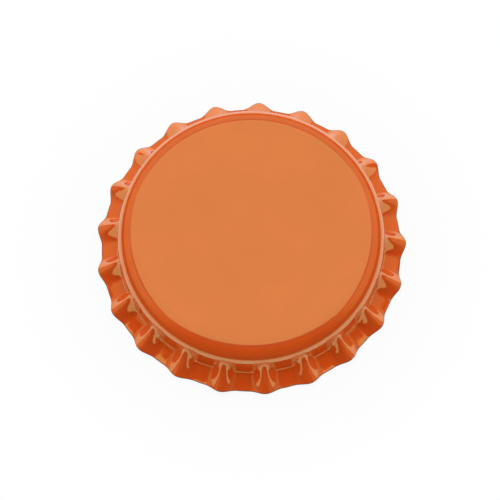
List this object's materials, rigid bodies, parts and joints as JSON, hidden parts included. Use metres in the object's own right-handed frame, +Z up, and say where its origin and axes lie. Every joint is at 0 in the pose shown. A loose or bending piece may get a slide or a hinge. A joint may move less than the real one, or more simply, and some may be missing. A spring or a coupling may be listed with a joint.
{
  "type": "crown bottle cap",
  "caption": "Uncrimped crown cap for a glass bottle: a lacquered steel top with a fluted, flared skirt and a moulded seal inside.",
  "frame": {"origin": "centre of the skirt's base plane, on the cap's axis, at the lowest point of the skirt's edge", "axes": "+Z up along the cap's axis, out of the flat panel; the crest of one flute lies on +X"},
  "size_m": [0.0319, 0.032, 0.006],
  "materials": {
    "orange_lacquer": "glossy baked lacquer on thin steel sheet",
    "liner_compound": "smooth, slightly waxy moulded compound"
  },
  "bodies": {
    "root": {"crown_shell": "orange_lacquer", "liner": "liner_compound"}
  },
  "joints": []
}
